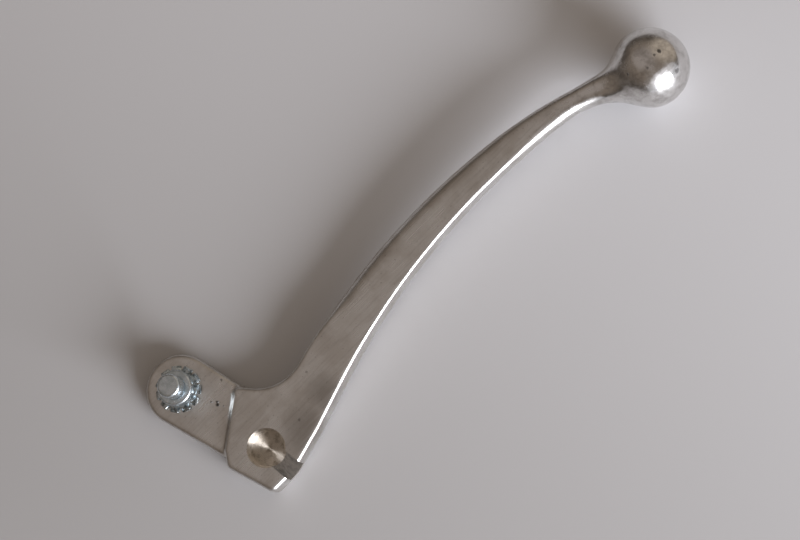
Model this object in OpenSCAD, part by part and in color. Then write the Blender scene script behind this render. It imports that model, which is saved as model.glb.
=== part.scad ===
// Ball-end handlebar lever: a cast blade with a pivot pocket in its root
// and a collared anchor stud in a thinner ear.
// The origin is on the pivot axis at the blade's mid plane.
// +X runs to the centre of the ball, +Z out of the pocket's mouth.

/* [Blade] */
// Distance from the pivot axis to the centre of the ball
reach = 134; // [105:1:170]
// Thickness of the root and the blade
blade_t = 6.5; // [5.4:0.1:8]
// Half width of the blade where it leaves the root
root_half_w = 6.3; // [5.4:0.1:7.2]
// Half width that the grip's first half draws towards
grip_half_w = 5.2; // [4.4:0.1:6.2]
// Half width that the grip's second half draws towards
waist_half_w = 3.3; // [2.8:0.1:4]
// Distance of the blade's start from the pivot axis, along X
blade_start_x = 22.5; // [19:0.5:27]
// Height of the blade's start above the X axis
blade_start_y = 3.9; // [3.2:0.1:4.7]
// Angle at which the blade leaves the root
root_angle = 17.5; // [14.5:0.5:21]
// Angle at which the neck comes down to the ball
tip_angle = 21.6; // [18:0.1:26]
// Radius of the edges of the root and the ear
edge_r = 1.3; // [0.8:0.1:1.6]

/* [Ball] */
// Diameter of the ball
ball_d = 20; // [16:0.5:24]
// Half width of the neck just before its upper hollow
neck_upper_w = 4.2; // [3.6:0.1:4.8]
// Radius of the tight hollow on the ball's upper side
upper_hollow_r = 5; // [4:0.5:7]
// Radius of the gentle hollow on the ball's lower side
lower_hollow_r = 16; // [12:0.5:20]
// Radius of the hollow above and below the neck
face_hollow_r = 13; // [10:0.5:18]

/* [Pivot pocket] */
// Diameter of the pivot pocket
pocket_d = 9; // [7.5:0.1:11]
// Depth of the pocket's wall
pocket_depth = 4; // [3.2:0.1:4.8]
// Extra depth of the cone in the pocket's floor
pocket_cone = 0.5; // [0.2:0.1:0.6]
// Width of the bevel round the pocket's mouth
pocket_bevel = 0.5; // [0.2:0.1:0.7]
// Width of the entry slot
slot_w = 5.2; // [4.2:0.1:6.4]
// Direction of the entry slot
slot_angle = -83; // [-100:1:-70]

/* [Root] */
// Metal between the pocket and the lower side
lip_wall = 4.8; // [3.8:0.1:6]
// Metal between the pocket and the heel's corners
heel_wall = 6.8; // [5.6:0.1:8.2]
// Direction of the heel's corner next to the ear
heel_high_angle = 161; // [156:1:166]
// Direction of the heel's corner next to the lip
heel_low_angle = 235.5; // [230:0.5:240]
// Metal between the pocket and the step down to the ear
step_wall = 6.5; // [5.4:0.1:7.8]
// Length of the step on the heel's side of the pocket
step_to_heel = 1.9; // [1.5:0.1:2.4]
// Length of the step on the blade's side of the pocket
step_to_blade = 15.4; // [14:0.1:17]
// Place of the lip's corner along X
lip_x = 1; // [0.5:0.1:1.5]
// Length of the straight run from the lip to the blade
lip_run = 12; // [9:0.5:14]
// Radius of the corner at the lip
lip_r = 8; // [6:0.5:10]
// Radius of the bend where that run meets the blade
run_r = 12; // [9:0.5:15]
// Direction in which the step faces
step_angle = 128; // [122:1:134]
// Radius of the hollow between the ear and the blade
crotch_r = 14; // [10:0.1:16]

/* [Ear] */
// Distance from the pivot axis to the anchor stud
anchor_reach = 28.2; // [25:0.1:34]
// Direction from the pivot axis to the anchor stud
anchor_angle = 103; // [98:1:108]
// Radius of the ear's round end
ear_r = 9.1; // [8:0.1:10.8]
// Drop from the root's top face to the ear
ear_drop = 2; // [1:0.1:2.4]
// Set-back of the ear from the root's bottom face
ear_rise = 0.5; // [0.3:0.1:1]

/* [Anchor stud] */
// Diameter of the stud's free end
stud_d = 6; // [5:0.1:7.2]
// Length of the free end above the collar
stud_l = 4.8; // [3.5:0.1:8]
// Width of the relief groove at the foot of the free end
relief_w = 0.5; // [0.3:0.1:0.9]
// Depth of the relief groove
relief_depth = 0.3; // [0.2:0.1:0.6]
// Bevel of the free end
stud_bevel = 0.8; // [0.4:0.1:1.2]
// Diameter of the collar
collar_d = 9; // [8.6:0.1:10.8]
// Height of the collar
collar_h = 3.4; // [2.4:0.1:5]
// Bevel of the collar's top edge
collar_bevel = 0.5; // [0.2:0.1:0.8]
// Diameter of the stud's tail in the ear
tail_d = 5; // [4:0.1:6]

/* [Lock washer] */
// Outer diameter over the teeth
washer_d = 12; // [11.4:0.1:14.4]
// Thickness of the washer's sheet
washer_t = 0.7; // [0.5:0.05:0.9]
// Number of teeth
tooth_count = 12; // [8:1:14]
// Share of the pitch that each tooth takes
tooth_share = 0.62; // [0.5:0.01:0.7]
// Twist of each tooth out of the sheet
tooth_twist = 14; // [8:1:20]

/* [Hidden] */

// Clearance between the stud and what it passes through
fit_gap = 0.05;
// Levels in each rounded edge, stations along the blade, degrees for each step of a corner
edge_steps = 5;
station_count = 36;
arc_step = 8;
// Rings along the neck, and points in each ring of the neck and the ball
neck_rings = 20;
ring_sides = 44;
// How far a cut runs past the face that it opens
past = 1;
// How far the end of one shape is sunk in the next
sunk = 0.2;
// How far the neck stands proud of the blade's end, and its straight run next to it
neck_step = 0.12;
neck_run = 2.6;
// The neck's root runs back into the blade and tapers there, as the blade's tip does in the neck
root_l = 2;
root_taper = 0.8;
tip_half_w = 2;
// Half width of the flat that is left along the top of the most rounded section
crown = 0.15;

top_z = blade_t / 2;
ball_r = ball_d / 2;
pocket_r = pocket_d / 2;
anchor = anchor_reach * [cos(anchor_angle), sin(anchor_angle)];
ear_top = top_z - ear_drop;
ear_bottom = ear_rise - top_z;
corner_r = edge_r + 0.5;

// The neck is a little stouter than the blade's end, which runs into it
neck_r = top_z + neck_step;

// Where a hollow of radius r leaves a side at distance w from the neck's line to touch the ball
function hollow_start(w, r) = sqrt(pow(ball_r + r, 2) - pow(w + r, 2));
neck_l = hollow_start(neck_r, lower_hollow_r) + neck_run;
neck_dir = [cos(tip_angle), -sin(tip_angle)];
ball_c = [reach, 0];
neck_start = ball_c - neck_l * neck_dir;

function unit(v) = v / norm(v);
function left(v) = [-v[1], v[0]];
function polar(r, a) = r * [cos(a), sin(a)];

// Cubic blend of four values or points
function cubic(a, b, c, d, t) =
    pow(1 - t, 3) * a + 3 * pow(1 - t, 2) * t * b + 3 * (1 - t) * t * t * c + pow(t, 3) * d;

// Centre line of the blade from the root (t = 0) to the neck (t = 1)
blade_start = [blade_start_x, blade_start_y];
blade_run = neck_start[0] - blade_start_x;
root_pull = 0.55;
neck_pull = 0.03;
pull_a = blade_start + polar(root_pull * blade_run, root_angle);
pull_b = neck_start - neck_pull * blade_run * neck_dir;
function line_pt(t) = cubic(blade_start, pull_a, pull_b, neck_start, t);
function line_dir(t) = t < 1 ? unit(line_pt(t + 0.001) - line_pt(t)) : neck_dir;
function half_w(t) = cubic(root_half_w, grip_half_w, waist_half_w, top_z, t);

// One side of the blade as [x, y, edge radius]: side is 1 for the upper, -1 for the lower
function side_pt(t, side) = line_pt(t) + side * half_w(t) * left(line_dir(t));
function side_row(t, side) =
    concat(side_pt(t, side), [min(edge_r + (top_z - edge_r) * pow(t, 1.5), half_w(t) - crown)]);
function side_dir(side) = unit(side_pt(0.01, side) - side_pt(0, side));

// Rounds the corner at b of the path a, b, c with radius r, or less where a side is short
function corner(a, b, c, most_r) =
    let (u = unit(a - b), v = unit(c - b), half = acos(u * v) / 2)
    let (r = min(most_r, 0.98 * tan(half) * min(norm(a - b), norm(c - b))))
    let (m = b + unit(u + v) * r / sin(half))
    let (p = b + u * r / tan(half) - m, q = b + v * r / tan(half) - m)
    let (start = atan2(p[1], p[0]), turn = atan2(p[0] * q[1] - p[1] * q[0], p * q))
    let (n = max(1, ceil(abs(turn) / arc_step)))
    [for (i = [0 : n]) concat(m + polar(r, start + turn * i / n), [edge_r])];

// Where the line from p along u meets the line from q along v
function meet(p, u, q, v) = p + u * ((q - p) * left(v)) / (u * left(v));

// Where the line from p touches a circle, on the circle's right (side = -1) or left (side = 1)
function touch(p, centre, r, side) =
    let (d = norm(centre - p), to_c = centre - p)
    p + polar(sqrt(d * d - r * r), atan2(to_c[1], to_c[0]) + side * asin(r / d));

// Corners of the root: the step to the ear, the heel, and the lip below the pocket
step_dir = [cos(step_angle), sin(step_angle)];
step_at = pocket_r + step_wall;
step_low = step_at * step_dir + step_to_heel * left(step_dir);
step_high = step_at * step_dir - step_to_blade * left(step_dir);
heel_a = polar(pocket_r + heel_wall, heel_high_angle);
heel_b = polar(pocket_r + heel_wall, heel_low_angle);
lip = [lip_x, -pocket_r - lip_wall];
lip_end = side_pt(0, -1) - lip_run * side_dir(-1);

// The ear's two sides touch its round end, and its upper side meets the blade in a hollow
ear_right = touch(step_high, anchor, ear_r, -1);
ear_low = (step_low + heel_a) / 2 + sunk * unit(step_low - heel_a);
ear_left = touch(ear_low, anchor, ear_r, 1);
crotch = meet(step_high, unit(step_high - ear_right), side_pt(0, 1), side_dir(1));
crotch_rows = corner(side_pt(0, 1), crotch, ear_right, crotch_r);
function step_side(p) = [p[0], p[1]] * step_dir - step_at;

// The hollow runs up to the step, where the root turns a corner and the ear goes on
hollow_stop = -1.6 * corner_r;
ear_stop = -3 * corner_r;
hollow_rows = [for (p = crotch_rows) if (step_side(p) < hollow_stop) p];
hollow_end = [for (p = hollow_rows) [p[0], p[1]]][len(hollow_rows) - 1];
hollow_dir = unit(hollow_end - [for (p = hollow_rows) [p[0], p[1]]][len(hollow_rows) - 2]);
step_top = meet(hollow_end, hollow_dir, step_high, left(step_dir));

root_rows = concat(
    hollow_rows,
    corner(hollow_end, step_top, step_low, corner_r),
    corner(step_top, step_low, heel_a, corner_r),
    corner(step_low, heel_a, heel_b, corner_r),
    corner(heel_a, heel_b, lip, corner_r),
    corner(heel_b, lip, lip_end, lip_r),
    corner(lip, lip_end, side_pt(0, -1), run_r));

// The blade's sides, with a narrower tip that is hidden in the neck
blade_rows = concat(
    [for (i = [0 : station_count]) side_row(i / station_count, -1)],
    [for (side = [-1, 1])
        concat(neck_start + root_l * neck_dir + side * tip_half_w * left(neck_dir), [tip_half_w - crown])],
    [for (i = [station_count : -1 : 0]) side_row(i / station_count, 1)]);

// The ear's round end about the stud, then down inside the root and back along the hollow
ear_from = atan2(ear_right[1] - anchor[1], ear_right[0] - anchor[0]);
ear_turn = atan2(ear_left[1] - anchor[1], ear_left[0] - anchor[0]) - ear_from + 360;
ear_count = ceil(ear_turn / arc_step);
hidden_in = fit_gap * unit(crotch - ear_right - side_pt(0, 1) + crotch);
ear_rows = concat(
    [for (i = [0 : ear_count])
        concat(anchor + polar(ear_r, ear_from + (ear_turn % 360) * i / ear_count), [edge_r])],
    [for (p = [ear_low, ear_low / 2]) concat(p, [edge_r])],
    [for (p = crotch_rows) if (step_side(p) > ear_stop)
        concat([p[0], p[1]] + hidden_in, [edge_r])]);

// Plate with rounded edges from an anticlockwise outline of [x, y, edge radius]
module rounded_plate(rows, z0, z1) {
    n = len(rows);
    inward = [for (i = [0 : n - 1])
        let (ahead = rows[(i + 1) % n], behind = rows[(i + n - 1) % n])
        left(unit([ahead[0] - behind[0], ahead[1] - behind[1]]))];
    levels = concat(
        [for (k = [0 : edge_steps]) [z0, 1, -90 + 90 * k / edge_steps]],
        [for (k = [0 : edge_steps]) [z1, -1, 90 * k / edge_steps]]);
    top = len(levels) - 1;
    points = [for (level = levels, i = [0 : n - 1])
        let (r = rows[i][2], inset = r * (1 - cos(level[2])))
        [
            rows[i][0] + inward[i][0] * inset,
            rows[i][1] + inward[i][1] * inset,
            level[0] + level[1] * r + r * sin(level[2])
        ]];
    walls = [for (k = [0 : top - 1], i = [0 : n - 1])
        [k * n + i, (k + 1) * n + i, (k + 1) * n + (i + 1) % n, k * n + (i + 1) % n]];
    caps = [[for (i = [0 : n - 1]) i], [for (i = [n - 1 : -1 : 0]) top * n + i]];
    polyhedron(points, concat(walls, caps));
}

// Distance of the neck's or the ball's surface from the neck's line, x before the ball's centre.
// The side widens from the blade's end to w, then a hollow of radius r takes it up to the ball.
function side_reach(x, w, r) =
    let (start = hollow_start(w, r), contact = ball_r * start / (ball_r + r))
    x < contact ? sqrt(max(0, pow(ball_r, 2) - x * x))
    : x < start ? w + r - sqrt(pow(r, 2) - pow(start - x, 2))
    : neck_r + (w - neck_r) * (neck_l - x) / (neck_l - start);

// Ball and neck, lofted through oval rings: tight hollow above, gentle hollow below
module ball_and_neck() {
    ball_from = 50;
    ball_step = 5;
    neck_end = ball_r * cos(ball_from);
    neck_x = [for (i = [0 : neck_rings]) neck_l + (neck_end - neck_l) * i / neck_rings];
    ball_x = [for (a = [ball_from + ball_step : ball_step : 180 - ball_step]) ball_r * cos(a)];
    rings = concat(
        [[neck_l + root_l, neck_r - root_taper, neck_r - root_taper, neck_r - root_taper]],
        [for (x = concat(neck_x, ball_x)) [
            x,
            side_reach(x, neck_upper_w, upper_hollow_r),
            side_reach(x, neck_r, lower_hollow_r),
            side_reach(x, neck_r, face_hollow_r)
        ]]);
    n = ring_sides;
    points = concat(
        [for (ring = rings, i = [0 : n - 1]) [
            -ring[0],
            (ring[1] - ring[2]) / 2 + (ring[1] + ring[2]) / 2 * cos(360 * i / n),
            ring[3] * sin(360 * i / n)
        ]],
        [[ball_r, 0, 0]]);
    last = len(rings) - 1;
    skin = [for (k = [0 : last - 1], i = [0 : n - 1])
        [k * n + i, (k + 1) * n + i, (k + 1) * n + (i + 1) % n, k * n + (i + 1) % n]];
    pole = [for (i = [0 : n - 1]) [last * n + i, len(points) - 1, last * n + (i + 1) % n]];
    tail = [[for (i = [0 : n - 1]) i]];
    translate([reach, 0, 0])
        rotate([0, 0, -tip_angle])
            polyhedron(points, concat(tail, skin, pole));
}

// Drilled pocket with a shallow cone in its floor and a bevelled mouth
module pocket_cut() {
    floor_z = top_z - pocket_depth;
    rotate_extrude($fn = 64)
        polygon([
            [0, floor_z - pocket_cone],
            [pocket_r, floor_z],
            [pocket_r, top_z - pocket_bevel],
            [pocket_r + pocket_bevel + past, top_z + past],
            [0, top_z + past]
        ]);
}

// Slot from the pocket out through the lip
module slot_cut() {
    slot_l = pocket_r + heel_wall + past;
    rotate([0, 0, slot_angle])
        translate([0, -slot_w / 2, top_z - pocket_depth])
            cube([slot_l, slot_w, pocket_depth + past]);
}

// The casting before it is drilled: one skin, kept at its own size
module blank() {
    resize([0, 0, 0])
        union() {
            rounded_plate(concat(blade_rows, root_rows), -top_z, top_z);
            rounded_plate(ear_rows, ear_bottom, ear_top);
            ball_and_neck();
        }
}

module lever() {
    color([0.62, 0.61, 0.59])
        difference() {
            blank();
            pocket_cut();
            slot_cut();
            translate([anchor[0], anchor[1], ear_bottom - past])
                cylinder(d = tail_d + 2 * fit_gap, h = ear_top - ear_bottom + 2 * past, $fn = 48);
        }
}

// Stud turned with its collar: the tail fills the ear, the collar sits on the washer
module anchor_pin() {
    collar_z = ear_top + washer_t;
    foot_z = collar_z + collar_h;
    tip_z = foot_z + stud_l;
    relief_r = stud_d / 2 - relief_depth;
    color([0.66, 0.68, 0.71])
        translate([anchor[0], anchor[1], 0])
            rotate_extrude($fn = 64)
                polygon([
                    [0, ear_bottom],
                    [tail_d / 2 - collar_bevel, ear_bottom],
                    [tail_d / 2, ear_bottom + collar_bevel],
                    [tail_d / 2, collar_z],
                    [collar_d / 2, collar_z],
                    [collar_d / 2, foot_z - collar_bevel],
                    [collar_d / 2 - collar_bevel, foot_z],
                    [relief_r, foot_z],
                    [relief_r, foot_z + relief_w],
                    [stud_d / 2, foot_z + relief_w],
                    [stud_d / 2, tip_z - stud_bevel],
                    [stud_d / 2 - stud_bevel, tip_z],
                    [0, tip_z]
                ]);
}

// Washer with outside teeth, each twisted about its own radius
module lock_washer() {
    ring_r = collar_d / 2 - sunk;
    tooth_l = washer_d / 2 - ring_r;
    tooth_w = PI * washer_d / tooth_count * tooth_share;
    color([0.6, 0.63, 0.68])
        translate([anchor[0], anchor[1], ear_top])
            difference() {
                union() {
                    cylinder(r = ring_r, h = washer_t, $fn = 64);
                    for (i = [0 : tooth_count - 1])
                        rotate([0, 0, (i + 0.5) * 360 / tooth_count])
                            intersection() {
                                translate([ring_r + tooth_l / 2, 0, washer_t / 2])
                                    rotate([tooth_twist, 0, 0])
                                        cube([tooth_l + 2 * sunk, tooth_w, washer_t], center = true);
                                cylinder(d = washer_d, h = 2 * washer_t, $fn = 64);
                            }
                }
                translate([0, 0, -past])
                    cylinder(d = tail_d + 2 * fit_gap, h = washer_t + 2 * past, $fn = 48);
                translate([0, 0, washer_t])
                    cylinder(d = collar_d + 2 * fit_gap, h = past, $fn = 64);
            }
}

lever();
anchor_pin();
lock_washer();
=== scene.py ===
import math
import bmesh
import bpy
from mathutils import Matrix, Vector
from mathutils.bvhtree import BVHTree
from mathutils.kdtree import KDTree


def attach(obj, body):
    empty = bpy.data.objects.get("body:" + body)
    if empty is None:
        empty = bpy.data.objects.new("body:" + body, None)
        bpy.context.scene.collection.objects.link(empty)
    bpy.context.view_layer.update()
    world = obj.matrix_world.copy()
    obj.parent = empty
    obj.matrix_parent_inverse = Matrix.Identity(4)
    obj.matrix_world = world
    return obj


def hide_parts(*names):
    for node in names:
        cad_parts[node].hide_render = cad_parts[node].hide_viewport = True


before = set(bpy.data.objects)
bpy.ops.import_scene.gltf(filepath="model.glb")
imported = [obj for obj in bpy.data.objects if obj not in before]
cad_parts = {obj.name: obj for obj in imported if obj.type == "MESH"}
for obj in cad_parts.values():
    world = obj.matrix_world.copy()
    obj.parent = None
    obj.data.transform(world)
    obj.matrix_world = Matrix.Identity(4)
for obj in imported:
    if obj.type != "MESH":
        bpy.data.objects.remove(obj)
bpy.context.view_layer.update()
print("stage: frame loaded")

mm = 0.001
anchorAt = (-6.3436, 27.4772)  # mm, the axis of the stud and its washer
samePlace = 1e-7  # m, corners closer than this are merged


def objectFrom(name, mesh):
    made = bpy.data.objects.new(name, mesh)
    bpy.context.scene.collection.objects.link(made)
    return made


def meshFrom(bm, name):
    mesh = bpy.data.meshes.new(name)
    bm.to_mesh(mesh)
    bm.free()
    return mesh


def shadeWithCreases(made, creaseAngle):
    made.data.shade_smooth()
    made.data.set_sharp_from_angle(angle=math.radians(creaseAngle))


def spun(bm, profile, steps):
    # turns a profile of (radius, height) in mm about Z
    corners = [bm.verts.new((r * mm, 0, z * mm)) for r, z in profile]
    edges = [bm.edges.new(pair) for pair in zip(corners, corners[1:])]
    bmesh.ops.spin(bm, geom=corners + edges, cent=(0, 0, 0), axis=(0, 0, 1), angle=math.tau,
                   steps=steps, use_merge=True)
    bmesh.ops.remove_doubles(bm, verts=bm.verts, dist=samePlace)
    bmesh.ops.recalc_face_normals(bm, faces=bm.faces)


def bevelRings(bm, rings, width, segments):
    # rounds the sharp circles at the given (radius, height) in mm
    close = 1e-6
    edges = []
    for edge in bm.edges:
        ends = [v.co for v in edge.verts]
        for r, z in rings:
            if all(abs(p.xy.length - r * mm) < close and abs(p.z - z * mm) < close for p in ends):
                edges.append(edge)
    bmesh.ops.bevel(bm, geom=edges, offset=width * mm, offset_type="OFFSET", segments=segments,
                    profile=0.5, affect="EDGES", material=-1)


def linearColour(hexCode):
    channels = [int(hexCode[i:i + 2], 16) / 255 for i in (0, 2, 4)]
    return [c / 12.92 if c <= 0.04045 else ((c + 0.055) / 1.055) ** 2.4 for c in channels] + [1.0]


def fillInputs(tree, node, inputs):
    for name, value in inputs.items():
        if isinstance(value, bpy.types.NodeSocket):
            tree.links.new(value, node.inputs[name])
        else:
            node.inputs[name].default_value = value


def addNode(tree, kind, settings, inputs):
    node = tree.nodes.new(kind)
    for name, value in settings.items():
        setattr(node, name, value)
    fillInputs(tree, node, inputs)
    return node


def newMaterial(name):
    material = bpy.data.materials.new(name)
    material.use_nodes = True
    return material, material.node_tree, material.node_tree.nodes["Principled BSDF"]


def millimetres(tree):
    # the place on the object, in mm
    coords = addNode(tree, "ShaderNodeTexCoord", {}, {})
    return addNode(tree, "ShaderNodeVectorMath", {"operation": "SCALE"}, {
        0: coords.outputs["Object"], "Scale": 1 / mm}).outputs[0]


def makeGrains(tree, place, grains):
    # an uneven pattern for each grain: its size in mm, detail, roughness, stretch and turn in degrees
    made = {}
    for name, (size, detail, roughness, stretch, turn) in grains.items():
        placed = addNode(tree, "ShaderNodeMapping", {"vector_type": "POINT"}, {
            "Vector": place, "Rotation": (0.0, 0.0, math.radians(turn)),
            "Scale": tuple(s / size for s in stretch)})
        noise = addNode(tree, "ShaderNodeTexNoise", {}, {
            "Vector": placed.outputs[0], "Scale": 1.0, "Detail": detail, "Roughness": roughness})
        made[name] = noise.outputs["Fac"]
    return made


def layered(tree, tone, layers):
    # lays colours over a tone: each goes in where its pattern rises from low to high, up to its share
    for pattern, low, high, share, hexCode in layers:
        where = addNode(tree, "ShaderNodeMapRange", {"interpolation_type": "SMOOTHSTEP"}, {
            "Value": pattern, "From Min": low, "From Max": high, "To Min": 0.0, "To Max": share})
        tone = addNode(tree, "ShaderNodeMix", {"data_type": "RGBA"}, {
            0: where.outputs[0], 6: tone, 7: linearColour(hexCode)}).outputs[2]
    return tone


def nearPoint(tree, place, point, radius, soft):
    # 1 within the radius of a point in mm, falling softly to 0 past it
    away = addNode(tree, "ShaderNodeVectorMath", {"operation": "DISTANCE"}, {0: place, 1: point})
    return addNode(tree, "ShaderNodeMapRange", {"interpolation_type": "SMOOTHSTEP"}, {
        "Value": away.outputs["Value"], "From Min": radius, "From Max": radius + soft,
        "To Min": 1.0, "To Max": 0.0}).outputs[0]


# The lever's casting, with its blade, ball, root and ear. Lengths are in mm, turns in degrees.
lever = {
    "voxel": 0.34,  # the grain of the smoothed casting
    "smoothing": 8,
    "bladeFrom": (26.0, 42.0),  # along X, where the blade's own section fades in
    "bladeTo": (112.0, 88.0),  # and where it fades out again
    "upperShare": 0.47,  # of the width, taken by the worn upper edge
    "lowerEdge": (1.3, 3.25),  # the CAD rounding at the root and at the neck
    "lowerGrowth": 1.5,  # above 1, that rounding grows late
    "lowerCrisp": 4.0,  # how square the lower edge is: 2 is round
    "neckSmoothing": 110,
    "neckFrom": 96.0,  # along X
    "neckBlend": 16.0,  # over which the neck's smoothing grows to its full strength
    "toNeck": (-1.0, 0.33, 0.0),  # the neck's direction, seen from the ball
    "neckSide": 70.0,  # round the neck's direction, what blends into the ball
    "neckFade": (48.0, 84.0),  # round the neck's direction, where the ball turns truly round
    "ballAt": (134.0, 0.0, 0.0),
    "ballRadius": 10.0,
    "topFace": 3.25,
    "pocketRadius": 4.5,
    "pocketFloor": -0.75,
    "pocketCone": 1.1,
    "pocketBevel": 0.5,
    "pocketCorner": ((0.25, 0.0), (0.07, 0.07), (0.0, 0.25)),  # in from the wall, up from the floor
    "slotWide": 5.2,
    "slotLong": 15.0,
    "slotTall": 6.0,
    "slotTurn": -83.0,
    "earHole": 2.55,
    "earTop": 1.25,
    "earBottom": -2.75,
    "creaseAngle": 32.0,

    "brightHex": "DAD8D5",
    "ballHex": "DDDBD9",
    "tarnishHex": "C6C1BB",
    "darkToneHex": "827C76",
    "pitShadeHex": "26221F",
    "topRough": (0.29, 0.43),  # from clear to tarnished
    "lineRough": (-0.05, 0.08),  # added by the finer lines
    "edgeRough": 0.31,
    "edgeFacing": (0.985, 0.88),  # how far a face looks up, where the flat top turns into the edge
    "ballRough": (0.14, 0.29),  # from clear to smudged
    "handled": (96.0, 124.0),  # along X, where the satin of the blade gives way to the polish of the ball
    "patchDarkness": 0.5,  # how dark the two darker patches on the root's top are
    "waveHeight": 0.1,
    "lineHeight": 0.008,
    "pitDepth": 0.09,  # by bump, on top of the skin
    "fray": 0.7,  # how far the pits' edges wander
    "frayDensity": 1.7,  # wanders to the mm
    # size, detail, roughness, stretch and turn
    "grains": {
        "mottle": (9.0, 5.0, 0.6, (1.0, 1.0, 1.0), 0.0),  # clouds of tarnish
        "lines": (0.5, 3.0, 0.6, (0.06, 1.0, 1.0), -12.0),  # polishing lines, drawn coarse enough to show
        "fineLines": (0.28, 2.0, 0.5, (0.03, 1.0, 1.0), 14.0),  # in the sheen only
        "specks": (0.55, 2.0, 0.5, (1.0, 1.0, 1.0), 0.0),
        "rubbed": (2.6, 5.0, 0.7, (1.0, 1.0, 1.0), 40.0),  # patches on the ball
        "scratches": (0.35, 3.0, 0.6, (0.05, 1.0, 1.0), 52.0),  # on the ball
        "smudges": (3.2, 5.0, 0.65, (1.0, 1.0, 1.0), 0.0),  # in the ball's sheen
        "waves": (5.0, 2.0, 0.4, (1.0, 1.0, 1.0), 0.0),  # left by polishing by hand
    },
    # two darker patches painted on the root's top: place, radius and softness
    "darkPatches": [((10.5, -4.0, 3.25), 1.0, 9.0), ((20.0, -0.5, 3.25), 0.5, 7.0)],
    # dents and pits, bumped in and painted near black as painted shade in their hollows: place, radius,
    # softness and strength
    "pits": [
        ((-1.85, 17.45, 1.25), 0.26, 0.34, 0.9),
        ((-1.45, 17.95, 1.25), 0.20, 0.34, 0.85),
        ((-2.53, 19.09, 1.25), 0.12, 0.25, 0.6),
        ((-0.99, 16.12, 1.25), 0.10, 0.25, 0.5),
        ((3.12, 21.31, 1.25), 0.15, 0.25, 0.6),
        ((10.82, -0.95, 3.25), 0.20, 0.35, 0.35),
        ((20.31, 6.49, 3.25), 0.15, 0.30, 0.35),
        ((137.31, -1.13, 9.37), 0.30, 0.35, 0.8),
        ((135.72, -1.06, 9.79), 0.15, 0.30, 0.6),
        ((127.94, 0.69, 7.93), 0.22, 0.35, 0.6),
        ((132.28, -2.08, 9.63), 0.14, 0.30, 0.5),
        ((137.3, -6.95, 6.39), 0.35, 0.60, 0.5),
    ],

    "pocketHex": "CFC6BA",
    "pocketDullHex": "A2988A",
    "pocketRough": 0.5,
    "pocketBrushed": 0.95,  # how far the rings draw out the light
    "ringStep": 0.42,
    "ringHeight": 0.012,
    "pocketGrain": {"mottle": (1.4, 4.0, 0.6, (1.0, 1.0, 1.0), 0.0)},
    "slotHex": "B6B3AF",
    "slotDarkHex": "96928D",
    "slotRough": (0.42, 0.6),  # from clear to torn
    "slotHeight": 0.12,
    "slotGrain": {"torn": (0.8, 4.0, 0.65, (1.0, 0.4, 1.0), 7.0)},
}


def applied(made):
    # works the object's modifiers into its mesh
    graph = bpy.context.evaluated_depsgraph_get()
    mesh = bpy.data.meshes.new_from_object(made.evaluated_get(graph))
    made.modifiers.clear()
    made.data = mesh


def slotDirection():
    turn = math.radians(lever["slotTurn"])
    return Vector((math.cos(turn), math.sin(turn)))


def pluggedCasting():
    # the CAD casting with its pocket, slot and hole filled, to be smoothed as one skin
    slack, under, holeWall = 0.02, 0.01, 0.15  # mm
    bm = bmesh.new()
    bm.from_mesh(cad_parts["lever"].data)
    bmesh.ops.remove_doubles(bm, verts=bm.verts, dist=samePlace)
    along = slotDirection()
    cutRadius = (lever["pocketRadius"] + lever["pocketBevel"] + slack) * mm
    lowest = (lever["pocketFloor"] - lever["pocketCone"] - under) * mm
    plug = bmesh.new()
    for v in bm.verts:
        flat = v.co.xy
        inPocket = flat.length < cutRadius and v.co.z > lowest
        inSlot = (flat.dot(along) > 0 and abs(flat.cross(along)) < (lever["slotWide"] / 2 + slack) * mm
                  and v.co.z > (lever["pocketFloor"] - under) * mm)
        if inPocket or inSlot:
            plug.verts.new(v.co)
    hull = bmesh.ops.convex_hull(plug, input=plug.verts)
    bmesh.ops.delete(plug, geom=list(set(hull["geom_interior"])), context="VERTS")
    bm.from_mesh(meshFrom(plug, "plug"))
    middle = (lever["earTop"] + lever["earBottom"]) / 2
    holeFill = (lever["earHole"] + holeWall) * mm
    bmesh.ops.create_cone(bm, cap_ends=True, segments=48, radius1=holeFill, radius2=holeFill,
                          depth=(lever["earTop"] - lever["earBottom"]) * mm,
                          matrix=Matrix.Translation((anchorAt[0] * mm, anchorAt[1] * mm, middle * mm)))
    bmesh.ops.create_uvsphere(bm, u_segments=128, v_segments=64, radius=lever["ballRadius"] * mm,
                              matrix=Matrix.Translation(Vector(lever["ballAt"]) * mm))
    return objectFrom("leverCasting", meshFrom(bm, "leverCasting"))


def fade(value, start, end):
    share = min(1.0, max(0.0, (value - start) / (end - start)))
    return share * share * (3 - 2 * share)


def sideTree(points):
    # finds the nearest point of one side of the blade, and which way is inward there
    tree = KDTree(len(points))
    for index, v in enumerate(points):
        tree.insert((v.co.x, v.co.y, 0), index)
    tree.balance()
    return tree, [-Vector((v.normal.x, v.normal.y, 0)).normalized() for v in points]


def wornRound(side, high, width, height):
    # how far a point is scaled to lie on a quarter ellipse of this width and height
    turn = math.atan2(high, side)
    reach = 1 / math.hypot(math.cos(turn) / width, math.sin(turn) / height)
    return min(1.0, reach / math.hypot(side, high))


def crispRound(side, high):
    # how far a point of a round edge is scaled to lie on a squarer one
    turn = math.atan2(high, side)
    power = lever["lowerCrisp"]
    return (abs(math.cos(turn)) ** power + abs(math.sin(turn)) ** power) ** (-1 / power)


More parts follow.
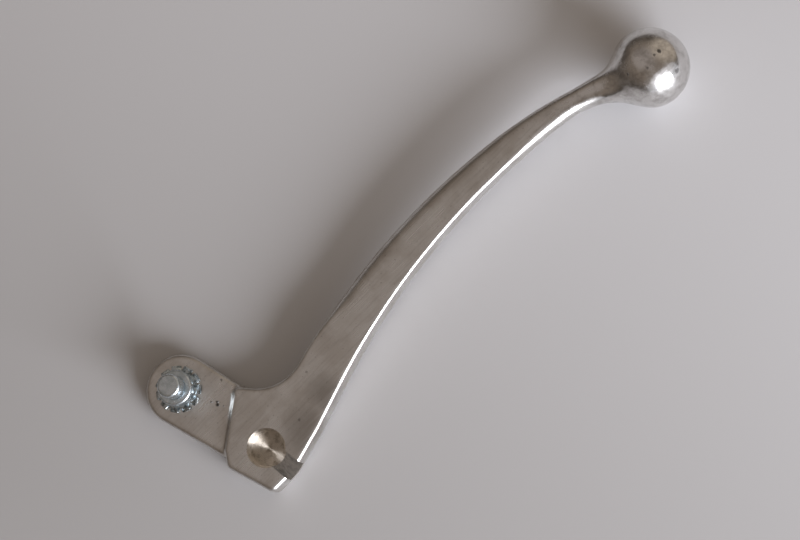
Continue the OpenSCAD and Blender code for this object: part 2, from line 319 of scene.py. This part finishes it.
def shapeBlade(bm):
    # the blade's own section: a long worn round on the upper edge and a crisp lower edge
    midBand, upright, facing = 0.35 * mm, 0.3, 0.25  # which points count as the blade's two sides
    startMargin, endMargin = 6.0, 4.0  # mm of side past each end
    (start, started), (end, ending) = lever["bladeFrom"], lever["bladeTo"]
    top = lever["topFace"] * mm
    wall = [v for v in bm.verts if abs(v.co.z) < midBand and abs(v.normal.z) < upright
            and (start - startMargin) * mm < v.co.x < (end + endMargin) * mm]
    upper, upperIn = sideTree([v for v in wall if v.normal.y > facing])
    lower, lowerIn = sideTree([v for v in wall if v.normal.y < -facing])
    moves = []
    for v in bm.verts:
        if v.co.z <= 0 or not start * mm < v.co.x < end * mm:
            continue
        share = fade(v.co.x, start * mm, started * mm) * fade(v.co.x, end * mm, ending * mm)
        flat = Vector((v.co.x, v.co.y, 0))
        place, upperIndex, fromUpper = upper.find(flat)
        place, lowerIndex, fromLower = lower.find(flat)
        worn = (fromUpper + fromLower) * lever["upperShare"]
        along = (v.co.x - start * mm) / ((end - start) * mm)
        atRoot, atNeck = lever["lowerEdge"]
        edge = (atRoot + (atNeck - atRoot) * along ** lever["lowerGrowth"]) * mm
        if fromUpper < worn:
            side, high = worn - fromUpper, v.co.z
            scale = wornRound(side, high, worn, top)
            move = upperIn[upperIndex] * (side - side * scale) + Vector((0, 0, high * scale - high))
            moves.append((v, v.co + move * share))
        elif fromLower < edge and v.co.z > top - edge:
            side, high = edge - fromLower, v.co.z - (top - edge)
            scale = crispRound(side, high)
            move = -lowerIn[lowerIndex] * side * (scale - 1) + Vector((0, 0, high * (scale - 1)))
            moves.append((v, v.co + move * share))
    for v, place in moves:
        v.co = place


def relax(bm, points):
    bmesh.ops.smooth_vert(bm, verts=points, factor=0.5, use_axis_x=True, use_axis_y=True, use_axis_z=True)


def smoothCasting(made):
    # one even skin over the casting, a soft neck and a truly round ball
    ballReach, noLength = 1.03, 1e-6
    remesh = made.modifiers.new("skin", "REMESH")
    remesh.mode = "VOXEL"
    remesh.voxel_size = lever["voxel"] * mm
    applied(made)
    bm = bmesh.new()
    bm.from_mesh(made.data)
    bm.normal_update()
    shapeBlade(bm)
    for turn in range(lever["smoothing"]):
        relax(bm, bm.verts)
    centre = Vector(lever["ballAt"]) * mm
    radius = lever["ballRadius"] * mm
    toNeck = Vector(lever["toNeck"]).normalized()
    neck = [v for v in bm.verts if v.co.x > lever["neckFrom"] * mm
            and math.degrees((v.co - centre).angle(toNeck, 0.0)) < lever["neckSide"]]
    for turn in range(lever["neckSmoothing"]):
        # each pass starts a little farther out, so the smoothing has no edge of its own
        start = (lever["neckFrom"] + lever["neckBlend"] * turn / lever["neckSmoothing"]) * mm
        relax(bm, [v for v in neck if v.co.x > start])
    for v in bm.verts:
        out = v.co - centre
        if noLength < out.length < radius * ballReach:
            share = fade(math.degrees(out.angle(toNeck)), *lever["neckFade"])
            v.co = v.co.lerp(centre + out.normalized() * radius, share)
    bm.to_mesh(made.data)
    bm.free()


def cutOut(made, cutter):
    cutter.hide_render = True
    cut = made.modifiers.new("cut", "BOOLEAN")
    cut.operation = "DIFFERENCE"
    cut.solver = "EXACT"
    cut.object = cutter
    applied(made)
    bpy.data.objects.remove(cutter)


def pocketCutter():
    r, floor, top, bevel = (lever[key] for key in ("pocketRadius", "pocketFloor", "topFace", "pocketBevel"))
    corner = [(r - inward, floor + up) for inward, up in lever["pocketCorner"]]
    mouth = [(r, top - bevel), (r + bevel, top), (r + bevel * 2, top + bevel), (0, top + bevel)]
    bm = bmesh.new()
    spun(bm, [(0, floor - lever["pocketCone"])] + corner + mouth, 128)
    return objectFrom("pocketCutter", meshFrom(bm, "pocketCutter"))


def slotCutter():
    long, wide, tall = lever["slotLong"] * mm, lever["slotWide"] * mm, lever["slotTall"] * mm
    bm = bmesh.new()
    bmesh.ops.create_cube(bm, size=1.0)
    bmesh.ops.scale(bm, vec=(long, wide, tall), verts=bm.verts)
    bmesh.ops.translate(bm, vec=(long / 2, 0, lever["pocketFloor"] * mm + tall / 2), verts=bm.verts)
    bmesh.ops.rotate(bm, cent=(0, 0, 0), matrix=Matrix.Rotation(math.radians(lever["slotTurn"]), 3, "Z"),
                     verts=bm.verts)
    return objectFrom("slotCutter", meshFrom(bm, "slotCutter"))


def earCutter():
    radius, depth = lever["earHole"] * mm, 12 * mm
    bm = bmesh.new()
    bmesh.ops.create_cone(bm, cap_ends=True, segments=96, radius1=radius, radius2=radius, depth=depth,
                          matrix=Matrix.Translation((anchorAt[0] * mm, anchorAt[1] * mm, 0)))
    return objectFrom("earCutter", meshFrom(bm, "earCutter"))


def makeLever():
    made = pluggedCasting()
    smoothCasting(made)
    for cutter in (pocketCutter(), slotCutter(), earCutter()):
        cutOut(made, cutter)
    made.data.name = "leverCasting"
    shadeWithCreases(made, lever["creaseAngle"])
    # the pocket's faces take the second material and the slot's the third
    along = slotDirection()
    mouthRadius = (lever["pocketRadius"] + lever["pocketBevel"]) * mm
    underPocket, belowTop = -3.0 * mm, lever["topFace"] * mm - 1e-5
    slotSide = lever["slotWide"] / 2 * mm + 1e-6
    slotFloor, slotTop = (lever["pocketFloor"] - 0.01) * mm, (lever["topFace"] - 0.1) * mm
    for face in made.data.polygons:
        flat, z = face.center.xy, face.center.z
        if flat.length < mouthRadius and underPocket < z < belowTop:
            face.material_index = 1
        elif flat.dot(along) > 0 and abs(flat.cross(along)) < slotSide and slotFloor < z < slotTop:
            face.material_index = 2
    return made


def castTone(tree, place, grains, handled, pits):
    # satin and lightly tarnished on the blade and root, rubbed and scratched on the ball
    darkTone = lever["darkToneHex"]
    blade = layered(tree, linearColour(lever["brightHex"]), [
        (grains["mottle"], 0.35, 0.66, 1.0, lever["tarnishHex"]),
        (grains["lines"], 0.45, 0.75, 0.2, darkTone),
        (grains["specks"], 0.66, 0.74, 0.5, darkTone)])
    ball = layered(tree, linearColour(lever["ballHex"]), [
        (grains["rubbed"], 0.42, 0.68, 0.45, darkTone),
        (grains["scratches"], 0.58, 0.72, 0.25, darkTone)])
    both = addNode(tree, "ShaderNodeMix", {"data_type": "RGBA"}, {0: handled, 6: blade, 7: ball})
    # two patches on the root's top are painted darker towards the dark tone
    first, second = [nearPoint(tree, place, *patch) for patch in lever["darkPatches"]]
    patches = addNode(tree, "ShaderNodeMath", {"operation": "MAXIMUM"}, {0: first, 1: second})
    darkening = addNode(tree, "ShaderNodeMath", {"operation": "MULTIPLY"}, {
        0: patches.outputs[0], 1: lever["patchDarkness"]})
    patched = addNode(tree, "ShaderNodeMix", {"data_type": "RGBA"}, {
        0: darkening.outputs[0], 6: both.outputs[2], 7: linearColour(darkTone)})
    # the pits are painted near black: painted shade in their hollows, over the real dents
    return addNode(tree, "ShaderNodeMix", {"data_type": "RGBA"}, {
        0: pits, 6: patched.outputs[2], 7: linearColour(lever["pitShadeHex"])}).outputs[2]


def castPits(tree, place):
    # the dents and pits, with frayed edges; the same mask bumps their hollows and paints the shade in them
    fray = lever["fray"]
    wander = addNode(tree, "ShaderNodeTexNoise", {}, {
        "Vector": place, "Scale": lever["frayDensity"], "Detail": 2.0})
    moved = addNode(tree, "ShaderNodeVectorMath", {"operation": "MULTIPLY_ADD"}, {
        0: wander.outputs["Color"], 1: (fray, fray, fray), 2: place})
    frayed = addNode(tree, "ShaderNodeVectorMath", {"operation": "SUBTRACT"}, {
        0: moved.outputs[0], 1: (fray / 2, fray / 2, fray / 2)})
    pits = 0.0
    for point, radius, soft, strength in lever["pits"]:
        near = nearPoint(tree, frayed.outputs[0], point, radius, soft)
        pit = addNode(tree, "ShaderNodeMath", {"operation": "MULTIPLY"}, {0: near, 1: strength})
        pits = addNode(tree, "ShaderNodeMath", {"operation": "MAXIMUM"}, {
            0: pits, 1: pit.outputs[0]}).outputs[0]
    return pits


def castSheen(tree, grains, handled):
    # duller on the flat top than on the edges, and shiniest on the ball
    clouded = addNode(tree, "ShaderNodeMapRange", {"interpolation_type": "SMOOTHSTEP"}, {
        "Value": grains["mottle"], "From Min": 0.3, "From Max": 0.7,
        "To Min": lever["topRough"][0], "To Max": lever["topRough"][1]})
    lined = addNode(tree, "ShaderNodeMapRange", {"interpolation_type": "SMOOTHSTEP"}, {
        "Value": grains["fineLines"], "From Min": 0.4, "From Max": 0.7,
        "To Min": lever["lineRough"][0], "To Max": lever["lineRough"][1]})
    topSheen = addNode(tree, "ShaderNodeMath", {"operation": "ADD"}, {
        0: clouded.outputs[0], 1: lined.outputs[0]})
    coords = addNode(tree, "ShaderNodeTexCoord", {}, {})
    facing = addNode(tree, "ShaderNodeSeparateXYZ", {}, {0: coords.outputs["Normal"]})
    onEdge = addNode(tree, "ShaderNodeMapRange", {"interpolation_type": "SMOOTHSTEP"}, {
        "Value": facing.outputs[2], "From Min": lever["edgeFacing"][0], "From Max": lever["edgeFacing"][1],
        "To Min": 0.0, "To Max": 1.0})
    bladeSheen = addNode(tree, "ShaderNodeMix", {"data_type": "FLOAT"}, {
        0: onEdge.outputs[0], 2: topSheen.outputs[0], 3: lever["edgeRough"]})
    ballSheen = addNode(tree, "ShaderNodeMapRange", {"interpolation_type": "SMOOTHSTEP"}, {
        "Value": grains["smudges"], "From Min": 0.35, "From Max": 0.7,
        "To Min": lever["ballRough"][0], "To Max": lever["ballRough"][1]})
    return addNode(tree, "ShaderNodeMix", {"data_type": "FLOAT"}, {
        0: handled, 2: bladeSheen.outputs[0], 3: ballSheen.outputs[0]}).outputs[0]


def castRelief(tree, grains, pits):
    # slight waves and lines, and the hollows of the pits
    waves = addNode(tree, "ShaderNodeMath", {"operation": "MULTIPLY"}, {
        0: grains["waves"], 1: lever["waveHeight"]})
    lines = addNode(tree, "ShaderNodeMath", {"operation": "MULTIPLY"}, {
        0: grains["lines"], 1: lever["lineHeight"]})
    polish = addNode(tree, "ShaderNodeMath", {"operation": "ADD"}, {
        0: waves.outputs[0], 1: lines.outputs[0]})
    hollows = addNode(tree, "ShaderNodeMath", {"operation": "MULTIPLY"}, {0: pits, 1: lever["pitDepth"]})
    height = addNode(tree, "ShaderNodeMath", {"operation": "SUBTRACT"}, {
        0: polish.outputs[0], 1: hollows.outputs[0]})
    return addNode(tree, "ShaderNodeBump", {}, {"Height": height.outputs[0], "Distance": mm}).outputs[0]


# polished aluminium casting: bright where handled, satin and lightly tarnished on the flat faces,
# with gas pits and scratches along the blade
def castAluminium():
    material, tree, shader = newMaterial("polishedCastAluminium")
    place = millimetres(tree)
    grains = makeGrains(tree, place, lever["grains"])
    axes = addNode(tree, "ShaderNodeSeparateXYZ", {}, {0: place})
    handled = addNode(tree, "ShaderNodeMapRange", {"interpolation_type": "SMOOTHSTEP"}, {
        "Value": axes.outputs[0], "From Min": lever["handled"][0], "From Max": lever["handled"][1],
        "To Min": 0.0, "To Max": 1.0}).outputs[0]
    pits = castPits(tree, place)
    fillInputs(tree, shader, {
        "Base Color": castTone(tree, place, grains, handled, pits),
        "Roughness": castSheen(tree, grains, handled),
        "Normal": castRelief(tree, grains, pits),
        "Metallic": 1.0})
    return material


# aluminium faced by a drill: bright rings round the pivot, which draw the light into a bow tie
def turnedAluminium():
    material, tree, shader = newMaterial("turnedAluminium")
    place = millimetres(tree)
    mottle = makeGrains(tree, place, lever["pocketGrain"])["mottle"]
    outward = addNode(tree, "ShaderNodeVectorMath", {"operation": "MULTIPLY"}, {
        0: place, 1: (1.0, 1.0, 0.0)})
    radius = addNode(tree, "ShaderNodeVectorMath", {"operation": "LENGTH"}, {0: outward.outputs[0]})
    across = addNode(tree, "ShaderNodeVectorMath", {"operation": "NORMALIZE"}, {0: outward.outputs[0]})
    phase = addNode(tree, "ShaderNodeMath", {"operation": "MULTIPLY"}, {
        0: radius.outputs["Value"], 1: math.tau / lever["ringStep"]})
    rings = addNode(tree, "ShaderNodeMath", {"operation": "SINE"}, {0: phase.outputs[0]})
    height = addNode(tree, "ShaderNodeMath", {"operation": "MULTIPLY"}, {
        0: rings.outputs[0], 1: lever["ringHeight"]})
    bump = addNode(tree, "ShaderNodeBump", {}, {"Height": height.outputs[0], "Distance": mm})
    fillInputs(tree, shader, {
        "Base Color": layered(tree, linearColour(lever["pocketHex"]), [
            (mottle, 0.45, 0.7, 1.0, lever["pocketDullHex"])]),
        "Roughness": lever["pocketRough"],
        "Anisotropic": lever["pocketBrushed"],
        "Tangent": across.outputs[0],
        "Normal": bump.outputs[0],
        "Metallic": 1.0})
    return material


# aluminium left as the milling cutter tore it: grey, coarse and dull
def milledAluminium():
    material, tree, shader = newMaterial("milledAluminium")
    torn = makeGrains(tree, millimetres(tree), lever["slotGrain"])["torn"]
    sheen = addNode(tree, "ShaderNodeMapRange", {"interpolation_type": "SMOOTHSTEP"}, {
        "Value": torn, "From Min": 0.3, "From Max": 0.7,
        "To Min": lever["slotRough"][0], "To Max": lever["slotRough"][1]})
    height = addNode(tree, "ShaderNodeMath", {"operation": "MULTIPLY"}, {0: torn, 1: lever["slotHeight"]})
    bump = addNode(tree, "ShaderNodeBump", {}, {"Height": height.outputs[0], "Distance": mm})
    fillInputs(tree, shader, {
        "Base Color": layered(tree, linearColour(lever["slotHex"]), [
            (torn, 0.35, 0.7, 1.0, lever["slotDarkHex"])]),
        "Roughness": sheen.outputs[0],
        "Normal": bump.outputs[0],
        "Metallic": 1.0})
    return material


# The anchor stud with its collar, lengths in mm.
stud = {
    "tail": 2.5,
    "bottom": -2.75,
    "collar": 4.5,
    "collarFrom": 1.95,
    "collarTop": 5.35,
    "collarEdge": 0.55,
    "groove": 2.7,
    "grooveTop": 5.85,
    "shank": 3.0,
    "tip": 10.15,
    "tipEdge": 0.8,
    "smallEdge": 0.12,
    "steps": 128,
    "creaseAngle": 28.0,

    "hex": "D3DBE0",
    "dullHex": "B0B9BC",
    "rough": (0.22, 0.38),  # from clear to dull
    "turningStep": 0.3,
    "turningHeight": 0.002,
    "mottleHeight": 0.02,
    "grains": {"mottle": (2.4, 4.0, 0.6, (1.0, 1.0, 1.0), 0.0)},
}


def makeStud():
    tail, collar, groove, shank = (stud[key] for key in ("tail", "collar", "groove", "shank"))
    bottom, collarFrom, collarTop = (stud[key] for key in ("bottom", "collarFrom", "collarTop"))
    grooveTop, tip = stud["grooveTop"], stud["tip"]
    bm = bmesh.new()
    spun(bm, [(0, bottom), (tail, bottom), (tail, collarFrom), (collar, collarFrom), (collar, collarTop),
              (groove, collarTop), (groove, grooveTop), (shank, grooveTop), (shank, tip), (0, tip)],
         stud["steps"])
    bevelRings(bm, [(shank, tip)], stud["tipEdge"], 5)
    bevelRings(bm, [(collar, collarTop)], stud["collarEdge"], 5)
    bevelRings(bm, [(tail, bottom), (shank, grooveTop), (collar, collarFrom)], stud["smallEdge"], 2)
    bmesh.ops.translate(bm, vec=(anchorAt[0] * mm, anchorAt[1] * mm, 0), verts=bm.verts)
    made = objectFrom("anchorStud", meshFrom(bm, "anchorStud"))
    shadeWithCreases(made, stud["creaseAngle"])
    return made


# turned steel with a pale blue-green zinc plating, duller where the plating has worn
def platedSteel():
    material, tree, shader = newMaterial("zincPlatedTurnedSteel")
    place = millimetres(tree)
    mottle = makeGrains(tree, place, stud["grains"])["mottle"]
    fromAxis = addNode(tree, "ShaderNodeVectorMath", {"operation": "SUBTRACT"}, {
        0: place, 1: (anchorAt[0], anchorAt[1], 0.0)})
    flat = addNode(tree, "ShaderNodeVectorMath", {"operation": "MULTIPLY"}, {
        0: fromAxis.outputs[0], 1: (1.0, 1.0, 0.0)})
    radius = addNode(tree, "ShaderNodeVectorMath", {"operation": "LENGTH"}, {0: flat.outputs[0]})
    phase = addNode(tree, "ShaderNodeMath", {"operation": "MULTIPLY"}, {
        0: radius.outputs["Value"], 1: math.tau / stud["turningStep"]})
    turning = addNode(tree, "ShaderNodeMath", {"operation": "SINE"}, {0: phase.outputs[0]})
    turned = addNode(tree, "ShaderNodeMath", {"operation": "MULTIPLY"}, {
        0: turning.outputs[0], 1: stud["turningHeight"]})
    uneven = addNode(tree, "ShaderNodeMath", {"operation": "MULTIPLY"}, {
        0: mottle, 1: stud["mottleHeight"]})
    height = addNode(tree, "ShaderNodeMath", {"operation": "ADD"}, {
        0: turned.outputs[0], 1: uneven.outputs[0]})
    bump = addNode(tree, "ShaderNodeBump", {}, {"Height": height.outputs[0], "Distance": mm})
    sheen = addNode(tree, "ShaderNodeMapRange", {"interpolation_type": "SMOOTHSTEP"}, {
        "Value": mottle, "From Min": 0.3, "From Max": 0.7,
        "To Min": stud["rough"][0], "To Max": stud["rough"][1]})
    fillInputs(tree, shader, {
        "Base Color": layered(tree, linearColour(stud["hex"]), [(mottle, 0.38, 0.7, 1.0, stud["dullHex"])]),
        "Roughness": sheen.outputs[0],
        "Normal": bump.outputs[0],
        "Metallic": 1.0})
    return material


# The lock washer with its twisted teeth. Lengths are in mm, turns in degrees.
washer = {
    "hole": 2.55,
    "ring": 4.85,
    "ringEdge": 0.12,
    "outer": 5.98,
    "bottom": 1.25,
    "top": 1.95,
    "teeth": 11,
    "firstTooth": -12.5,
    "toothInside": 0.5,  # how far a tooth reaches into the ring
    "toothWide": 2.5,
    "toothThick": 0.55,
    "toothCorner": 0.35,
    "toothEdge": 0.13,
    "twist": 24.0,
    "twistOver": 1.6,  # above 1, the twist is all done before the tooth's end
    "creaseAngle": 35.0,

    "hex": "C2CBCF",
    "dullHex": "6A7376",
    "rough": (0.24, 0.36),  # from clear to dull
    "mottleHeight": 0.06,
    "grains": {"mottle": (0.9, 4.0, 0.6, (1.0, 1.0, 1.0), 0.0)},
}


def washerTeeth():
    # one tooth, rounded and twisted, then repeated round the ring
    inner, outer = washer["ring"] - washer["toothInside"], washer["outer"]
    square, endSlack, short = 0.9, 0.01, 1e-4  # radians, mm, m
    bm = bmesh.new()
    bmesh.ops.create_cube(bm, size=1.0)
    bmesh.ops.scale(bm, vec=((outer - inner) * mm, washer["toothWide"] * mm, washer["toothThick"] * mm),
                    verts=bm.verts)
    bmesh.ops.translate(bm, vec=((outer + inner) / 2 * mm, 0, 0), verts=bm.verts)
    lengthwise = [e for e in bm.edges if abs((e.verts[0].co - e.verts[1].co).x) > short]
    bmesh.ops.subdivide_edges(bm, edges=lengthwise, cuts=6, use_grid_fill=True)
    corners = [e for e in bm.edges if all(v.co.x > (outer - endSlack) * mm for v in e.verts)
               and abs((e.verts[0].co - e.verts[1].co).z) > short]
    bmesh.ops.bevel(bm, geom=corners, offset=washer["toothCorner"] * mm, offset_type="OFFSET", segments=3,
                    profile=0.5, affect="EDGES", material=-1)
    rims = [e for e in bm.edges if e.is_manifold and e.calc_face_angle(0) > square]
    bmesh.ops.bevel(bm, geom=rims, offset=washer["toothEdge"] * mm, offset_type="OFFSET", segments=2,
                    profile=0.5, affect="EDGES", material=-1)
    for v in bm.verts:
        share = max(0.0, (v.co.x - inner * mm) / ((outer - inner) * mm))
        turn = math.radians(washer["twist"]) * min(1.0, share * washer["twistOver"])
        v.co.rotate(Matrix.Rotation(turn, 3, "X"))
    bmesh.ops.translate(bm, vec=(0, 0, (washer["bottom"] + washer["top"]) / 2 * mm), verts=bm.verts)
    bmesh.ops.rotate(bm, cent=(0, 0, 0), matrix=Matrix.Rotation(math.radians(washer["firstTooth"]), 3, "Z"),
                     verts=bm.verts)
    copies = washer["teeth"] - 1
    bmesh.ops.spin(bm, geom=bm.verts[:] + bm.edges[:] + bm.faces[:], cent=(0, 0, 0), axis=(0, 0, 1),
                   angle=math.tau * copies / washer["teeth"], steps=copies, use_duplicate=True)
    bmesh.ops.recalc_face_normals(bm, faces=bm.faces)
    return meshFrom(bm, "washerTeeth")


def makeWasher():
    hole, ring, bottom, top = (washer[key] for key in ("hole", "ring", "bottom", "top"))
    bm = bmesh.new()
    spun(bm, [(hole, bottom), (ring, bottom), (ring, top), (hole, top), (hole, bottom)], 128)
    bevelRings(bm, [(ring, top), (ring, bottom)], washer["ringEdge"], 2)
    bm.from_mesh(washerTeeth())
    bmesh.ops.translate(bm, vec=(anchorAt[0] * mm, anchorAt[1] * mm, 0), verts=bm.verts)
    made = objectFrom("lockWasher", meshFrom(bm, "lockWasher"))
    shadeWithCreases(made, washer["creaseAngle"])
    return made


# stamped spring steel, blue zinc plated: cold bright glints on the twisted teeth, dull in the gaps
def washerSteel():
    material, tree, shader = newMaterial("blueZincStampedSteel")
    mottle = makeGrains(tree, millimetres(tree), washer["grains"])["mottle"]
    sheen = addNode(tree, "ShaderNodeMapRange", {"interpolation_type": "SMOOTHSTEP"}, {
        "Value": mottle, "From Min": 0.3, "From Max": 0.7,
        "To Min": washer["rough"][0], "To Max": washer["rough"][1]})
    height = addNode(tree, "ShaderNodeMath", {"operation": "MULTIPLY"}, {
        0: mottle, 1: washer["mottleHeight"]})
    bump = addNode(tree, "ShaderNodeBump", {}, {"Height": height.outputs[0], "Distance": mm})
    fillInputs(tree, shader, {
        "Base Color": layered(tree, linearColour(washer["hex"]), [
            (mottle, 0.4, 0.66, 1.0, washer["dullHex"])]),
        "Roughness": sheen.outputs[0],
        "Normal": bump.outputs[0],
        "Metallic": 1.0})
    return material


# The card that the lever lies on.
floorCard = {
    "size": 3000.0,  # mm
    # the card's colour runs from the first colour below on its painted lit side to the second on its
    # painted dim side: painted light falloff, not the card's own colour
    "hex": "D3D2D3",
    "paintedFalloffHex": "B5B3B2",
    "along": (0.9, 0.45),  # how far X and Y count towards the side painted paler, as painted light falloff
    "fadeOver": (-40.0, 150.0),  # mm
    "rough": 0.7,
    "specular": 0.25,
}


def restPlane(casting):
    # the hull face under the middle of the lever is what it lies on
    bm = bmesh.new()
    bm.from_mesh(casting.data)
    middle = sum((v.co for v in bm.verts), Vector()) / len(bm.verts)
    bmesh.ops.convex_hull(bm, input=bm.verts)
    tree = BVHTree.FromBMesh(bm)
    below = Vector((middle.x, middle.y, -1.0))
    place, normal, face, distance = tree.ray_cast(below, Vector((0, 0, 1)))
    bm.free()
    return place, normal if normal.z > 0 else -normal


# matt white card with painted light falloff: its colour is painted warmer and darker away from the window
def whiteCard():
    material, tree, shader = newMaterial("mattWhiteCard")
    axes = addNode(tree, "ShaderNodeSeparateXYZ", {}, {0: millimetres(tree)})
    alongX, alongY = [addNode(tree, "ShaderNodeMath", {"operation": "MULTIPLY"}, {
        0: axes.outputs[index], 1: floorCard["along"][index]}).outputs[0] for index in (0, 1)]
    across = addNode(tree, "ShaderNodeMath", {"operation": "ADD"}, {0: alongX, 1: alongY})
    low, high = floorCard["fadeOver"]
    fillInputs(tree, shader, {
        # painted light falloff: the card is painted darker and warmer on the side away from the window
        "Base Color": layered(tree, linearColour(floorCard["paintedFalloffHex"]), [
            (across.outputs[0], low, high, 1.0, floorCard["hex"])]),
        "Roughness": floorCard["rough"],
        "Specular IOR Level": floorCard["specular"]})
    return material


def makeFloor(casting):
    place, normal = restPlane(casting)
    lie = Matrix.Translation(place) @ normal.to_track_quat("Z", "Y").to_matrix().to_4x4()
    bm = bmesh.new()
    bmesh.ops.create_grid(bm, x_segments=1, y_segments=1, size=floorCard["size"] / 2 * mm)
    bmesh.ops.transform(bm, matrix=lie, verts=bm.verts)
    made = objectFrom("paperFloor", meshFrom(bm, "paperFloor"))
    made.data.materials.append(whiteCard())
    print("stage: floor leans", round(math.degrees(normal.angle(Vector((0, 0, 1)))), 2), "degrees")


# The long lens that gives the photograph its nearly parallel view. Lengths are in mm.
view = {
    "lens": 90.0,
    "sensor": 36.0,
    "nearest": 10.0,
    "place": (70.35, -124.85, 482.22),
    "aim": (54.7, 8.8, 0.0),
    "upTurn": 46.17,  # degrees from +X, the floor direction that points up the picture
}


def makeCamera():
    lens = bpy.data.cameras.new("view")
    lens.lens = view["lens"]
    lens.sensor_width = view["sensor"]
    lens.clip_start = view["nearest"] * mm
    place, aim = Vector(view["place"]) * mm, Vector(view["aim"]) * mm
    turn = math.radians(view["upTurn"])
    forward = (aim - place).normalized()
    right = forward.cross(Vector((math.cos(turn), math.sin(turn), 0))).normalized()
    up = right.cross(forward)
    camera = bpy.data.objects.new("view", lens)
    bpy.context.scene.collection.objects.link(camera)
    camera.matrix_world = Matrix.Translation(place) @ Matrix((right, up, -forward)).transposed().to_4x4()
    bpy.context.scene.camera = camera


# The room and its window. Lengths are in mm, powers in watts; directions are degrees from +X and above
# the floor.
room = {
    "hex": "7A6F65",  # walls and ceiling
    "groundHex": "4A443F",  # low and behind the card
    "fullHeight": 0.6,
    "paleParts": [
        ((97.0, 72.0), (0.72, 0.99), "99908A"),  # ceiling, which the flat top reflects
        ((0.0, 28.0), (0.72, 0.95), "B7AB9D"),  # wall past the ball
    ],
    "windowAt": (-87.0, 14.8),  # low, where the long highlight comes from
    "windowAway": 1000.0,
    "windowHex": "F4F7FF",
    "windowSize": (800.0, 600.0),
    "windowPower": 21.0,
    "glowSize": (2200.0, 1300.0),  # the pale wall round the window
    "glowPower": 4.0,
}


def directionOf(turn, lift):
    t, l = math.radians(turn), math.radians(lift)
    return Vector((math.cos(l) * math.cos(t), math.cos(l) * math.sin(t), math.sin(l)))


def makeWorld():
    world = bpy.data.worlds.new("room")
    bpy.context.scene.world = world
    world.use_nodes = True
    tree = world.node_tree
    direction = addNode(tree, "ShaderNodeTexCoord", {}, {}).outputs["Generated"]
    height = addNode(tree, "ShaderNodeSeparateXYZ", {}, {0: direction}).outputs[2]
    layers = [(height, 0.0, room["fullHeight"], 1.0, room["hex"])]
    for (turn, lift), (low, high), hexCode in room["paleParts"]:
        towards = addNode(tree, "ShaderNodeVectorMath", {"operation": "DOT_PRODUCT"}, {
            0: direction, 1: directionOf(turn, lift)})
        layers.append((towards.outputs["Value"], low, high, 1.0, hexCode))
    fillInputs(tree, tree.nodes["Background"], {
        "Color": layered(tree, linearColour(room["groundHex"]), layers), "Strength": 1.0})


def makeLamp(name, size, power):
    away = directionOf(*room["windowAt"])
    lamp = bpy.data.lights.new(name, "AREA")
    lamp.shape = "ELLIPSE"
    lamp.size, lamp.size_y = size[0] * mm, size[1] * mm
    lamp.energy = power
    lamp.color = linearColour(room["windowHex"])[:3]
    holder = bpy.data.objects.new(name, lamp)
    bpy.context.scene.collection.objects.link(holder)
    holder.location = Vector(view["aim"]) * mm + away * room["windowAway"] * mm
    holder.rotation_euler = away.to_track_quat("Z", "Y").to_euler()


casting = makeLever()
print("stage: casting made,", len(casting.data.polygons), "faces")
anchorStud = makeStud()
print("stage: stud made")
lockWasher = makeWasher()
print("stage: washer made")

for piece, finishes, node, slotName in (
        (casting, (castAluminium(), turnedAluminium(), milledAluminium()), "lever", "cast_aluminium"),
        (anchorStud, (platedSteel(),), "anchor_pin", "plated_steel"),
        (lockWasher, (washerSteel(),), "lock_washer", "washer_steel")):
    for finish in finishes:
        piece.data.materials.append(finish)
    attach(piece, "root")
    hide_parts(node)
print("stage: pieces dressed")

makeFloor(casting)
makeWorld()
makeLamp("window", room["windowSize"], room["windowPower"])
makeLamp("windowGlow", room["glowSize"], room["glowPower"])
makeCamera()
bpy.context.scene.view_settings.view_transform = "Standard"
print("stage: floor, light and camera set")
